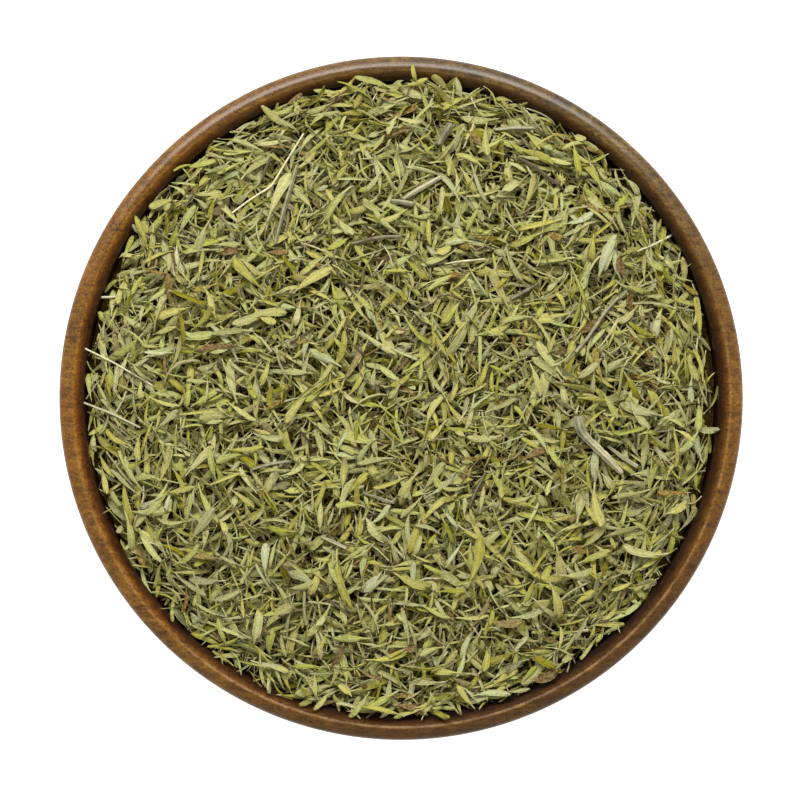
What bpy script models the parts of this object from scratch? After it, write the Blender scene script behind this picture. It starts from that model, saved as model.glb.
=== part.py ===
"""A small turned wooden bowl, filled almost to its rim with dried thyme leaves.

Metres, +Z up. The origin is the centre of the foot's underside, on the surface that the bowl stands on.
The bowl is one turned solid. The heap is one solid: a packed core that the leaf blades stand out of.
The larger bits of stem lie on the heap, each as a solid of its own.
"""

import math
import random

import bmesh
import bpy
from mathutils import Matrix, Vector
from mathutils.bvhtree import BVHTree

# Driving dimensions of the bowl
RIM_RADIUS = 0.0750
BOWL_HEIGHT = 0.0480
FOOT_RADIUS = 0.0310
FOOT_HEIGHT = 0.0030
FOOT_TAPER = 0.0008
BASE_THICKNESS = 0.0075
BOWL_STEPS = 64

# The lip: rounded outside, nearly flat on top, with a crisp arris and a short slope inside it
LIP_ROUND = 0.0018
ARRIS_RADIUS = 0.0714
ARRIS_DROP = 0.0003
SLOPE_RADIUS = 0.0697
SLOPE_DROP = 0.0026
WALL_FLOOR_RADIUS = 0.0200

# The heap: its fill line at the wall, its crown at the middle, and its play in the bowl
FILL_DROP = 0.0078
CROWN_RISE = 0.0012
PLAY = 0.0004
CORE_STEPS = 40

# The leaf blades, larger than life so that few of them cover the heap
LEAF_SEED = 12
LEAF_COUNT = 300
LEAF_LENGTH = (0.0135, 0.0190)
LEAF_WIDTH = (0.0036, 0.0052)
LEAF_THICKNESS = 0.0012
LEAF_LIFT = 0.0011
LEAF_ARCH = (-0.0006, 0.0016)
LEAF_PITCH = math.radians(11)
LEAF_ROLL = math.radians(24)
LEAF_KINDS = 12
GOLDEN_ANGLE = math.pi * (3 - math.sqrt(5))

# Each bit of stem: its name, radius, colour and route over the heap, seen from above
STRAW_COLOUR = (0.62, 0.56, 0.30)
GREY_COLOUR = (0.24, 0.20, 0.17)
BROWN_COLOUR = (0.19, 0.13, 0.08)
STEMS = (
    ("straw_stem", 0.00035, STRAW_COLOUR, ((-0.0372, 0.0410), (-0.0284, 0.0470), (-0.0214, 0.0586))),
    ("grey_twig_left", 0.00050, GREY_COLOUR, ((-0.0277, 0.0341), (-0.0259, 0.0412), (-0.0228, 0.0516))),
    ("grey_twig_right", 0.00050, GREY_COLOUR, ((0.0382, 0.0103), (0.0409, 0.0135), (0.0449, 0.0193))),
    ("ribbed_stalk", 0.00060, STRAW_COLOUR, ((0.0004, 0.0440), (0.0048, 0.0466), (0.0094, 0.0494))),
    ("brown_twig", 0.00050, BROWN_COLOUR, ((-0.0109, 0.0341), (-0.0042, 0.0357), (0.0000, 0.0358))),
    ("woody_twig", 0.00080, STRAW_COLOUR, ((0.0387, -0.0035), (0.0392, -0.0072), (0.0443, -0.0115),
                                          (0.0483, -0.0160))),
    ("silver_stem", 0.00045, GREY_COLOUR, ((0.0454, -0.0102), (0.0488, -0.0122), (0.0522, -0.0146))),
)
STEM_CLEARANCE = 0.0003
STEM_SAMPLES = 40


def clear_scene():
    for old in list(bpy.data.objects):
        bpy.data.objects.remove(old, do_unlink=True)


def new_collection(name):
    collection = bpy.data.collections.new(name)
    bpy.context.scene.collection.children.link(collection)
    return collection


def material(name, colour, roughness):
    made = bpy.data.materials.new(name)
    made.use_nodes = True
    shader = made.node_tree.nodes["Principled BSDF"]
    shader.inputs["Base Color"].default_value = (*colour, 1.0)
    shader.inputs["Roughness"].default_value = roughness
    shader.inputs["Metallic"].default_value = 0.0
    return made


def quarter_ellipse(centre, width, height, count):
    """Points from (centre + width) at the side down to the ellipse's lowest point."""
    for i in range(count + 1):
        turn = math.pi / 2 * i / count
        yield Vector((centre.x + width * math.cos(turn), 0, centre.z - height * math.sin(turn)))


def inner_wall(inset, count):
    """The bowl's inside below the lip's slope, from the slope down to the floor's edge, moved in by inset."""
    top = BOWL_HEIGHT - SLOPE_DROP
    depth = top - BASE_THICKNESS
    centre = Vector((WALL_FLOOR_RADIUS, 0, top))
    width = SLOPE_RADIUS - WALL_FLOOR_RADIUS - inset
    return list(quarter_ellipse(centre, width, depth - inset, count))


def mouth_radius(height):
    """The inside radius of the bowl at this height, and of its mouth above the rim."""
    slope_foot = BOWL_HEIGHT - SLOPE_DROP
    if height >= BOWL_HEIGHT - ARRIS_DROP:
        return ARRIS_RADIUS
    if height >= slope_foot:
        share = (height - slope_foot) / (SLOPE_DROP - ARRIS_DROP)
        return SLOPE_RADIUS + share * (ARRIS_RADIUS - SLOPE_RADIUS)
    drop = min(1.0, (slope_foot - height) / (slope_foot - BASE_THICKNESS))
    return WALL_FLOOR_RADIUS + (SLOPE_RADIUS - WALL_FLOOR_RADIUS) * math.sqrt(1 - drop * drop)


def bowl_profile():
    """From the floor's centre up the inside, over the lip, and down the outside to the foot's centre."""
    inside = inner_wall(0.0, 8)
    inside.reverse()
    yield Vector((0, 0, BASE_THICKNESS))
    yield from inside
    yield Vector((ARRIS_RADIUS, 0, BOWL_HEIGHT - ARRIS_DROP))
    centre = Vector((RIM_RADIUS - LIP_ROUND, 0, BOWL_HEIGHT - LIP_ROUND))
    for i in range(4):
        turn = math.pi / 2 * (1 - i / 4)
        yield centre + LIP_ROUND * Vector((math.cos(turn), 0, math.sin(turn)))
    side = Vector((FOOT_RADIUS, 0, BOWL_HEIGHT - LIP_ROUND))
    yield from quarter_ellipse(side, RIM_RADIUS - FOOT_RADIUS, side.z - FOOT_HEIGHT, 8)
    yield Vector((FOOT_RADIUS - FOOT_TAPER, 0, 0))
    yield Vector((0, 0, 0))


def dome_height(radius):
    """The height of the packed core at this distance from the axis."""
    low = BOWL_HEIGHT - FILL_DROP
    high = BOWL_HEIGHT + CROWN_RISE
    reach = mouth_radius(low) - PLAY
    return low + (high - low) * (1 - (radius / reach) ** 2)


def core_profile():
    """From the crown out over the dome to the fill line, and down inside the bowl's wall to the axis."""
    edge = mouth_radius(BOWL_HEIGHT - FILL_DROP) - PLAY
    for i in range(7):
        radius = edge * i / 6
        yield Vector((radius, 0, dome_height(radius)))
    for point in inner_wall(PLAY, 6)[1:]:
        if point.z < BOWL_HEIGHT - FILL_DROP:
            yield point
    yield Vector((0, 0, BASE_THICKNESS + PLAY))


def turned(name, profile, steps, collection):
    """A profile turned about the Z axis by a Screw modifier."""
    outline = bmesh.new()
    points = [outline.verts.new(point) for point in profile]
    for first, second in zip(points, points[1:]):
        outline.edges.new((first, second))
    mesh = bpy.data.meshes.new(name)
    outline.to_mesh(mesh)
    outline.free()
    obj = bpy.data.objects.new(name, mesh)
    collection.objects.link(obj)
    screw = obj.modifiers.new("turn", "SCREW")
    screw.steps = steps
    screw.render_steps = steps
    screw.use_merge_vertices = True
    screw.merge_threshold = 0.00001
    screw.use_smooth_shade = True
    return obj


def leaf_blade(name, length, width, arch):
    """A thyme leaf: a narrow stalk end, its widest place beyond the middle, a raised midrib and thin margins."""
    half_width = width / 2
    half_thickness = LEAF_THICKNESS / 2
    sections = ((0.30, 0.55), (0.68, 1.00))
    blade = bmesh.new()

    def point(along, across, up):
        bow = arch * (1 - (2 * along - 1) ** 2)
        return blade.verts.new(((along - 0.5) * length, across, up + bow))

    stalk = point(0.0, 0.0, 0.0)
    rings = []
    for along, share in sections:
        ring = (
            point(along, half_width * share, 0.0),
            point(along, 0.0, half_thickness),
            point(along, -half_width * share, 0.0),
            point(along, 0.0, -half_thickness),
        )
        rings.append(ring)
    tip = point(1.0, 0.0, 0.0)
    for i in range(4):
        after = (i + 1) % 4
        blade.faces.new((stalk, rings[0][after], rings[0][i]))
        blade.faces.new((rings[0][i], rings[0][after], rings[1][after], rings[1][i]))
        blade.faces.new((rings[1][i], rings[1][after], tip))
    bmesh.ops.triangulate(blade, faces=blade.faces[:])
    bmesh.ops.recalc_face_normals(blade, faces=blade.faces[:])
    mesh = bpy.data.meshes.new(name)
    blade.to_mesh(mesh)
    blade.free()
    return mesh


def lying_on_dome(radius, turn, yaw, pitch, roll):
    """The placing of a leaf that lies on the dome at this distance and angle from the axis."""
    slope = (dome_height(radius + 0.0005) - dome_height(radius - 0.0005)) / 0.001
    normal = Vector((-slope * math.cos(turn), -slope * math.sin(turn), 1)).normalized()
    place = Vector((radius * math.cos(turn), radius * math.sin(turn), dome_height(radius)))
    tilt = normal.to_track_quat("Z", "Y").to_matrix().to_4x4()
    laid = Matrix.Rotation(yaw, 4, "Z") @ Matrix.Rotation(pitch, 4, "Y") @ Matrix.Rotation(roll, 4, "X")
    return Matrix.Translation(place + normal * LEAF_LIFT) @ tilt @ laid


def kept_in_bowl(placing, mesh):
    """The placing moved towards the axis until every corner of the leaf clears the bowl's wall."""
    excess = 0.0
    for vertex in mesh.vertices:
        corner = placing @ vertex.co
        room = mouth_radius(corner.z) - PLAY
        excess = max(excess, corner.xy.length - room)
    inward = -placing.translation.xy.normalized() * excess
    return Matrix.Translation((inward.x, inward.y, 0)) @ placing


def keep_largest_island(mesh):
    """Keeps the outer surface of the fused body, without loose scraps and the walls of sealed hollows."""
    shells = bmesh.new()
    shells.from_mesh(mesh)
    unseen = set(shells.faces)
    islands = []
    while unseen:
        island = [unseen.pop()]
        for face in island:
            for edge in face.edges:
                for other in edge.link_faces:
                    if other in unseen:
                        unseen.remove(other)
                        island.append(other)
        islands.append(island)
    largest = max(islands, key=len)
    loose = [face for island in islands if island is not largest for face in island]
    bmesh.ops.delete(shells, geom=loose, context="FACES")
    shells.to_mesh(mesh)
    shells.free()


def thyme_heap(collection):
    """The packed core with every leaf blade fused to it as one body."""
    draw = random.Random(LEAF_SEED)
    heap = turned("thyme_heap", core_profile(), CORE_STEPS, collection)
    leaves = new_collection("leaf_blades")
    kinds = []
    for i in range(LEAF_KINDS):
        kinds.append(leaf_blade(f"blade_{i}", draw.uniform(*LEAF_LENGTH), draw.uniform(*LEAF_WIDTH),
                                draw.uniform(*LEAF_ARCH)))
    reach = mouth_radius(BOWL_HEIGHT - FILL_DROP) - PLAY - 0.3 * LEAF_WIDTH[0]
    for i in range(LEAF_COUNT):
        radius = reach * math.sqrt((i + 0.5) / LEAF_COUNT)
        placing = lying_on_dome(radius, i * GOLDEN_ANGLE, draw.uniform(0, 2 * math.pi),
                                draw.uniform(-LEAF_PITCH, LEAF_PITCH), draw.uniform(-LEAF_ROLL, LEAF_ROLL))
        mesh = kinds[i % LEAF_KINDS]
        leaf = bpy.data.objects.new(f"leaf_{i}", mesh)
        leaf.matrix_world = kept_in_bowl(placing, mesh)
        leaves.objects.link(leaf)
    union = heap.modifiers.new("fuse", "BOOLEAN")
    union.operation = "UNION"
    union.operand_type = "COLLECTION"
    union.collection = leaves
    union.solver = "MANIFOLD"
    bpy.context.view_layer.update()
    fused = bpy.data.meshes.new_from_object(heap.evaluated_get(bpy.context.evaluated_depsgraph_get()))
    heap.modifiers.clear()
    heap.data = fused
    keep_largest_island(fused)
    for leaf in list(leaves.objects):
        bpy.data.objects.remove(leaf, do_unlink=True)
    bpy.data.collections.remove(leaves)
    return heap


def resting_line(samples):
    """The straight line on which a rigid stick rests: the edge of the samples' upper hull under its middle."""
    hull = []
    for distance, height in samples:
        while len(hull) > 1:
            (d0, h0), (d1, h1) = hull[-2], hull[-1]
            if (h1 - h0) * (distance - d0) > (height - h0) * (d1 - d0):
                break
            hull.pop()
        hull.append((distance, height))
    middle = (samples[0][0] + samples[-1][0]) / 2
    for (d0, h0), (d1, h1) in zip(hull, hull[1:]):
        if d0 <= middle <= d1:
            rise = (h1 - h0) / (d1 - d0)
            return lambda distance: h0 + rise * (distance - d0)
    return lambda distance: hull[0][1]


def stem(name, radius, colour, route, heap_surface, collection):
    """A bit of stem that rests on the heap: a tube along its route, at the height where it touches."""
    corners = [Vector((x, y, 0)) for x, y in route]
    lengths = [0.0]
    for first, second in zip(corners, corners[1:]):
        lengths.append(lengths[-1] + (second - first).length)
    samples = []
    for i in range(STEM_SAMPLES + 1):
        distance = lengths[-1] * i / STEM_SAMPLES
        leg = max(k for k in range(len(corners) - 1) if lengths[k] <= distance)
        share = (distance - lengths[leg]) / (lengths[leg + 1] - lengths[leg])
        here = corners[leg].lerp(corners[leg + 1], share)
        heading = corners[leg + 1] - corners[leg]
        side = Vector((-heading.y, heading.x, 0)).normalized()
        tops = []
        for offset in (-1.2, -0.6, 0.0, 0.6, 1.2):
            above = here + side * offset * radius + Vector((0, 0, 2 * BOWL_HEIGHT))
            hit = heap_surface.ray_cast(above, Vector((0, 0, -1)))[0]
            tops.append(hit.z)
        samples.append((distance, max(tops)))
    line = resting_line(samples)
    lift = radius + STEM_CLEARANCE
    curve = bpy.data.curves.new(name, "CURVE")
    curve.dimensions = "3D"
    curve.bevel_depth = radius
    curve.bevel_resolution = 2
    curve.use_fill_caps = True
    spline = curve.splines.new("POLY")
    spline.points.add(len(corners) - 1)
    for point, corner, distance in zip(spline.points, corners, lengths):
        point.co = (corner.x, corner.y, line(distance) + lift, 1.0)
    obj = bpy.data.objects.new(name, curve)
    collection.objects.link(obj)
    curve.materials.append(material(name, colour, 0.7))
    return obj


def main():
    clear_scene()
    parts = new_collection("bowl_of_thyme")
    bowl = turned("bowl", bowl_profile(), BOWL_STEPS, parts)
    bowl.data.materials.append(material("stained_wood", (0.25, 0.13, 0.05), 0.38))
    heap = thyme_heap(parts)
    heap.data.materials.clear()
    heap.data.materials.append(material("dried_thyme", (0.30, 0.29, 0.10), 0.75))
    surface = BVHTree.FromObject(heap, bpy.context.evaluated_depsgraph_get())
    for name, radius, colour, route in STEMS:
        stem(name, radius, colour, route, surface, parts)


main()
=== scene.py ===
import math

import bmesh
import bpy
import numpy as np
from mathutils import Euler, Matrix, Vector


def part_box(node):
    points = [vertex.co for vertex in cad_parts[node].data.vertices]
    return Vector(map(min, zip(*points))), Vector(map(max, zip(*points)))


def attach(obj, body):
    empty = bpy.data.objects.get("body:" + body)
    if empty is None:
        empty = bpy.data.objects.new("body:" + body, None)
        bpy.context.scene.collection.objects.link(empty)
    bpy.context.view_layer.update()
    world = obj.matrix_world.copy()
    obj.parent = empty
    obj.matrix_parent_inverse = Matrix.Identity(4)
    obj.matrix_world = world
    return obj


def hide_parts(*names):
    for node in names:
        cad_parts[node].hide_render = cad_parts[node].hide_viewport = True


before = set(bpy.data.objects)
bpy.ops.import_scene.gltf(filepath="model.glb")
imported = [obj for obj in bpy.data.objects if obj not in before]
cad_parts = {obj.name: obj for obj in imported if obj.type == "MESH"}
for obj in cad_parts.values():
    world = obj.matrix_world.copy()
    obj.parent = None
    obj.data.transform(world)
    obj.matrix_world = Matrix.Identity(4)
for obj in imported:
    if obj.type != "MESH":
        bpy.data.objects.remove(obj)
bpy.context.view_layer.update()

# The bowl: one block of hardwood turned on a lathe, stained brown and lacquered.
# Its lip is crowned: it falls gently outwards and turns over a tight arris into the hollow; the arris is
# worn pale, with a painted highlight along it on the near side.
# It stands on a low turned foot.
RIM_RADIUS, _, BOWL_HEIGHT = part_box("bowl")[1]
FOOT_RADIUS = 0.0310
FOOT_HEIGHT = 0.0030
FOOT_TAPER = 0.0008
FOOT_EDGE = 0.0005
BASE_THICKNESS = 0.0075
LIP_ROUND = 0.0017
LIP_POWER = 1.25
CROWN_RADIUS = 0.0726
ARRIS_WIDTH = 0.0012
ARRIS_DEPTH = 0.0009
ARRIS_TURN = math.radians(55)
ARRIS_RADIUS = 0.0714
ARRIS_DROP = 0.0003
SLOPE_RADIUS = 0.0697
SLOPE_DROP = 0.0026
SLOPE_FOOT = BOWL_HEIGHT - SLOPE_DROP
WALL_FLOOR_RADIUS = 0.0200
SHADED_SIDE_BEARING = math.radians(290)
GREY_BEARING = math.radians(68)
HOLLOW_LIT_BEARING = math.radians(130)
SHADED_WALL_BEARING = math.radians(71)
WORN_HIGHLIGHT_BEARING = math.radians(290)
GRAIN_TURN = math.radians(24)
HOLLOW_DARKEST = 0.0700
HOLLOW_LIGHTEST = 0.0722
INSIDE_STARTS = 0.0100
INSIDE_WHOLE = 0.0085
WORN_RADIUS = 0.0721
BOWL_STEPS = 288
HOLLOW_STEPS = 24
ARRIS_STEPS = 8
LIP_STEPS = 16
OUTSIDE_STEPS = 30
LATHE_MERGE = 0.000005
LATHE_SHARP_ANGLE = math.radians(28)


def quarter_ellipse(centre_radius, centre_height, width, height, count):
    """Points of a profile from the side of an ellipse down to its lowest point."""
    for i in range(count + 1):
        turn = math.pi / 2 * i / count
        yield Vector((centre_radius + width * math.cos(turn), 0, centre_height - height * math.sin(turn)))


def bowl_profile():
    """From the floor's centre up the hollow, over the lip, and down the outside to the foot's centre."""
    hollow = list(quarter_ellipse(WALL_FLOOR_RADIUS, SLOPE_FOOT, SLOPE_RADIUS - WALL_FLOOR_RADIUS,
                                  SLOPE_FOOT - BASE_THICKNESS, HOLLOW_STEPS))
    yield Vector((0, 0, BASE_THICKNESS))
    yield from reversed(hollow)
    for i in range(ARRIS_STEPS, 0, -1):
        turn = ARRIS_TURN * i / ARRIS_STEPS
        yield Vector((CROWN_RADIUS - ARRIS_WIDTH * math.sin(turn), 0,
                      BOWL_HEIGHT - ARRIS_DEPTH * (1 - math.cos(turn))))
    for i in range(LIP_STEPS):
        out = math.sin(math.pi / 2 * i / LIP_STEPS)
        yield Vector((CROWN_RADIUS + (RIM_RADIUS - CROWN_RADIUS) * out, 0,
                      BOWL_HEIGHT - LIP_ROUND * (1 - math.sqrt(1 - out ** LIP_POWER))))
    yield from quarter_ellipse(FOOT_RADIUS, BOWL_HEIGHT - LIP_ROUND, RIM_RADIUS - FOOT_RADIUS,
                               BOWL_HEIGHT - LIP_ROUND - FOOT_HEIGHT, OUTSIDE_STEPS)
    yield Vector((FOOT_RADIUS - FOOT_TAPER * 0.7, 0, FOOT_EDGE))
    yield Vector((FOOT_RADIUS - FOOT_TAPER - FOOT_EDGE, 0, 0))
    yield Vector((0, 0, 0))


def placed(name, data):
    """A new object of this name and data, in the scene."""
    made = bpy.data.objects.new(name, data)
    bpy.context.scene.collection.objects.link(made)
    return made


def drawn(name, mesh):
    """The plain mesh data of a mesh that has been drawn."""
    data = bpy.data.meshes.new(name)
    mesh.to_mesh(data)
    mesh.free()
    return data


def made_plain(name, source):
    """What an object's modifiers make of it, as an object with a plain mesh. The first object is removed."""
    mesh = bpy.data.meshes.new_from_object(source.evaluated_get(bpy.context.evaluated_depsgraph_get()))
    bpy.data.objects.remove(source, do_unlink=True)
    mesh.name = name
    return placed(name, mesh)


def on_the_lathe(name, profile, steps):
    """A profile turned about the Z axis, as a plain mesh that is smooth away from its arrises."""
    outline = bmesh.new()
    points = [outline.verts.new(point) for point in profile]
    for ends in zip(points, points[1:]):
        outline.edges.new(ends)
    blank = placed(name + "_blank", drawn(name + "_profile", outline))
    screw = blank.modifiers.new("turn", "SCREW")
    screw.steps = steps
    screw.render_steps = steps
    screw.use_merge_vertices = True
    screw.merge_threshold = LATHE_MERGE
    screw.use_smooth_shade = True
    turned = made_plain(name, blank)
    turned.data.set_sharp_from_angle(angle=LATHE_SHARP_ANGLE)
    return turned


def add_node(tree, kind, out=0, settings=(), **inputs):
    """Adds a node to a tree and returns one of its outputs. An input is a value or another node's output.
    Its keyword is the input's name, or i and its number."""
    made = tree.nodes.new(kind)
    for name, value in dict(settings).items():
        setattr(made, name, value)
    for name, source in inputs.items():
        key = int(name[1:]) if name[0] == "i" and name[1:].isdigit() else name.replace("_", " ")
        plug(tree, source, made.inputs[key])
    return made.outputs[out]


def plug(tree, source, socket):
    """Links another node's output to a socket, or sets the socket to a value."""
    if hasattr(source, "is_output"):
        tree.links.new(source, socket)
    else:
        socket.default_value = source


class Finish:
    """A material under construction: short calls that add one shader node each and link it."""

    def __init__(self, name):
        self.material = bpy.data.materials.new(name)
        self.material.use_nodes = True
        self.tree = self.material.node_tree
        self.shader = self.tree.nodes["Principled BSDF"]

    def surface(self, **inputs):
        for name, source in inputs.items():
            plug(self.tree, source, self.shader.inputs[name.replace("_", " ")])

    def node(self, kind, **facts):
        return add_node(self.tree, kind, **facts)

    def place(self, scale=(1, 1, 1), turn=(0, 0, 0)):
        spot = self.node("ShaderNodeTexCoord", out="Object")
        return self.node("ShaderNodeMapping", Vector=spot, Scale=scale, Rotation=turn)

    def noise(self, where, scale, detail=4.0, roughness=0.55, distortion=0.0):
        return self.node("ShaderNodeTexNoise", Vector=where, Scale=scale, Detail=detail, Roughness=roughness,
                         Distortion=distortion)

    def attribute(self, name):
        return self.node("ShaderNodeAttribute", out="Fac", settings={"attribute_name": name})

    def maths(self, operation, first, second=0.0, clamp=False):
        return self.node("ShaderNodeMath", settings={"operation": operation, "use_clamp": clamp},
                         i0=first, i1=second)

    def plus(self, first, *others):
        for other in others:
            first = self.maths("ADD", first, other)
        return first

    def times(self, first, *others):
        for other in others:
            first = self.maths("MULTIPLY", first, other)
        return first

    def span(self, value, low, high, new_low=0.0, new_high=1.0):
        return self.node("ShaderNodeMapRange", settings={"interpolation_type": "SMOOTHSTEP"},
                         Value=value, From_Min=low, From_Max=high, To_Min=new_low, To_Max=new_high)

    def ramp(self, value, *stops):
        made = self.tree.nodes.new("ShaderNodeValToRGB")
        band = made.color_ramp
        while len(band.elements) < len(stops):
            band.elements.new(0.5)
        for element, (place, colour) in zip(band.elements, stops):
            element.position = place
            element.color = (*colour, 1.0)
        plug(self.tree, value, made.inputs[0])
        return made.outputs[0]

    def blend(self, amount, first, second, how="MIX"):
        first, second = ((*one, 1.0) if isinstance(one, tuple) else one for one in (first, second))
        return self.node("ShaderNodeMix", out=2, settings={"data_type": "RGBA", "blend_type": how},
                         i0=amount, i6=first, i7=second)

    def relief(self, height, depth):
        self.surface(Normal=self.node("ShaderNodeBump", Height=height, Distance=depth))


def stained_wood():
    """Streaky hardwood with open pores under a blotchy red-brown stain, greyer at one side. Painted shade
    darkens the near side, patches of the far inner wall, and the hollow nearly to black, less on its far
    left; a pale line of wear and painted highlight runs along the arris on the near side."""
    wood = Finish("stained_wood")
    board = wood.place(scale=(0.16, 1.0, 1.0), turn=(0.0, 0.0, GRAIN_TURN))
    even = wood.place()
    streaks = wood.noise(board, 1300.0, detail=8.0, roughness=0.68, distortion=0.6)
    bands = wood.noise(board, 190.0, detail=3.0, roughness=0.5, distortion=1.4)
    blotches = wood.noise(even, 420.0, detail=5.0, roughness=0.66)
    clouds = wood.noise(even, 46.0, detail=2.0)
    speckle = wood.noise(even, 2300.0, detail=2.0, roughness=0.6)
    figure = wood.plus(wood.times(streaks, 0.46), wood.times(bands, 0.18), wood.times(blotches, 0.36))
    stain = wood.ramp(figure, (0.34, (0.042, 0.014, 0.001)), (0.44, (0.125, 0.049, 0.004)),
                      (0.52, (0.218, 0.094, 0.008)), (0.60, (0.315, 0.150, 0.016)),
                      (0.70, (0.430, 0.228, 0.040)))
    stain = wood.blend(wood.span(clouds, 0.42, 0.66, 0.0, 0.45), stain, (0.215, 0.076, 0.006))
    pores = wood.span(speckle, 0.58, 0.70)
    stain = wood.blend(wood.times(pores, 0.60), stain, (0.026, 0.012, 0.004))
    rusty = wood.span(wood.noise(even, 1250.0, detail=1.0), 0.60, 0.72)
    stain = wood.blend(wood.times(rusty, 0.5), stain, (0.330, 0.130, 0.018))
    spot = wood.node("ShaderNodeTexCoord", out="Object")
    right, away, up = wood.node("ShaderNodeSeparateXYZ", Vector=spot).node.outputs
    radius = wood.maths("SQRT", wood.plus(wood.times(right, right), wood.times(away, away)))

    def side(bearing):
        """How far a point lies towards this bearing."""
        return wood.plus(wood.times(right, math.cos(bearing)), wood.times(away, math.sin(bearing)))

    def grey(level):
        """A grey of this level."""
        return wood.node("ShaderNodeCombineXYZ", X=level, Y=level, Z=level)

    # Painted shade: the stain darkens towards the near side of the rim, away from the lamp.
    dark = wood.span(side(SHADED_SIDE_BEARING), 0.030, 0.074, 1.0, 0.50)
    stain = wood.blend(1.0, stain, grey(dark), "MULTIPLY")
    # The stain turns greyer towards the far right side.
    greyer_side = wood.span(side(GREY_BEARING), 0.020, 0.074, 0.0, 0.90)
    stain = wood.blend(greyer_side, stain, (0.62, 0.88, 2.60), "MULTIPLY")
    # Painted shade: in patches, the far right inner wall and lip, which face away from the lamp, are
    # darkened nearly to black.
    painted_far_wall_shade = wood.times(wood.span(wood.noise(even, 330.0, detail=5.0, roughness=0.7), 0.44, 0.60, 0.0, 0.72),
                        wood.span(side(SHADED_WALL_BEARING), 0.0690, 0.0722, 0.12, 1.0))
    stain = wood.blend(painted_far_wall_shade, stain, (0.042, 0.030, 0.020))
    # Painted shade: from the arris down into the hollow, the stain darkens nearly to black.
    depth = wood.maths("DIVIDE", wood.maths("SUBTRACT", radius, HOLLOW_DARKEST),
                       HOLLOW_LIGHTEST - HOLLOW_DARKEST, clamp=True)
    painted_hollow_shade = wood.ramp(depth, (0.05, (0.150, 0.100, 0.120)), (0.35, (0.360, 0.235, 0.220)),
                       (0.60, (0.760, 0.600, 0.560)), (0.80, (1.0, 1.0, 1.0)))
    inside = wood.span(up, BOWL_HEIGHT - INSIDE_STARTS, BOWL_HEIGHT - INSIDE_WHOLE)
    stain = wood.blend(inside, stain, painted_hollow_shade, "MULTIPLY")
    # Painted light and shade: the hollow's painted shade is lightened on the far left side and deepened on
    # the near right side.
    painted_hollow_side_light = wood.times(inside, wood.span(depth, 1.0, 0.78))
    hollow_side_light_level = wood.span(side(HOLLOW_LIT_BEARING), -0.060, 0.055, 0.82, 1.62)
    stain = wood.blend(painted_hollow_side_light, stain, grey(hollow_side_light_level), "MULTIPLY")
    off_arris = wood.maths("ABSOLUTE", wood.maths("SUBTRACT", radius, WORN_RADIUS))
    # Wear and painted highlight: a pale line along the arris, strongest on the near side, is partly worn
    # lacquer and partly the lamp's highlight painted in.
    worn_highlight_side = wood.times(wood.span(side(WORN_HIGHLIGHT_BEARING), -0.060, 0.050, 0.05, 1.0),
                         wood.span(up, BOWL_HEIGHT - 0.0012, BOWL_HEIGHT - 0.0006))
    worn_and_painted_highlight = wood.times(wood.span(off_arris, 0.00008, 0.00042, 1.0, 0.0), worn_highlight_side,
                      wood.span(wood.noise(even, 260.0, detail=4.0), 0.36, 0.62, 0.10, 0.60))
    stain = wood.blend(worn_and_painted_highlight, stain, (0.380, 0.220, 0.090))
    gloss = wood.span(blotches, 0.35, 0.65, 0.36, 0.52)
    along_arris = wood.times(wood.span(off_arris, 0.00020, 0.00070, 1.0, 0.0), worn_highlight_side)
    lacquer = wood.times(wood.span(along_arris, 0.0, 1.0, 1.0, 0.30), 0.76)
    wood.surface(Base_Color=stain, Roughness=wood.plus(gloss, wood.times(worn_and_painted_highlight, 0.2)),
                 Specular_IOR_Level=0.10, Coat_Weight=lacquer, Coat_Roughness=0.30)
    tool_marks = wood.noise(wood.node("ShaderNodeCombineXYZ", X=radius, Y=up), 2600.0, detail=1.0)
    wood.relief(wood.plus(streaks, wood.times(tool_marks, 0.2), wood.times(pores, -0.6),
                          wood.times(blotches, 0.5)), 0.00036)
    return wood.material


bowl = on_the_lathe("turned_bowl", bowl_profile(), BOWL_STEPS)
bowl.data.materials.append(stained_wood())
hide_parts("bowl")
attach(bowl, "root")

# The imported leaves: dried leaves and dust that fill the bowl under the loose ones. Their colour is painted
# very dark, as the shade in the gaps between the loose leaves, so they show only as dark gaps. They press
# against the hollow, and sink a little towards its wall.
WALL_GAP = 0.0003
FILL_DROP = 0.0024
CROWN_RISE = 0.0020
LOOSE_DEPTH = 0.0044
WALL_DIP = 0.0047
WALL_RISE = 0.0008
PACK_STEPS = 128
PACK_RINGS = 24
PACK_STEP_DOWN = 0.0002


def mouth_radius(height):
    """The hollow's inside radius at these heights, and the arris's radius above the rim."""
    height = np.asarray(height, dtype=float)
    drop = np.clip((SLOPE_FOOT - height) / (SLOPE_FOOT - BASE_THICKNESS), 0.0, 1.0)
    wall = WALL_FLOOR_RADIUS + (SLOPE_RADIUS - WALL_FLOOR_RADIUS) * np.sqrt(1.0 - drop * drop)
    share = np.clip((height - SLOPE_FOOT) / (SLOPE_DROP - ARRIS_DROP), 0.0, 1.0)
    return wall + share * (ARRIS_RADIUS - SLOPE_RADIUS)


def fill_height(radius):
    """The level of the heap's top at this distance from the bowl's axis."""
    low = BOWL_HEIGHT - FILL_DROP
    share = np.clip(np.asarray(radius) / SLOPE_RADIUS, 0.0, 1.0)
    return low + (FILL_DROP + CROWN_RISE) * (1.0 - share ** 2)


def heap_level(x, y):
    """The level to which the loose leaves fill the bowl. At its left and right they sink before the wall,
    and at the near and far side they climb it."""
    radius = np.hypot(x, y)
    near_wall = np.minimum(1.0, radius / SLOPE_RADIUS) ** 12
    dip = WALL_DIP * (x / SLOPE_RADIUS) ** 2 - WALL_RISE * (y / SLOPE_RADIUS) ** 2
    return fill_height(radius) - near_wall * dip


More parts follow.
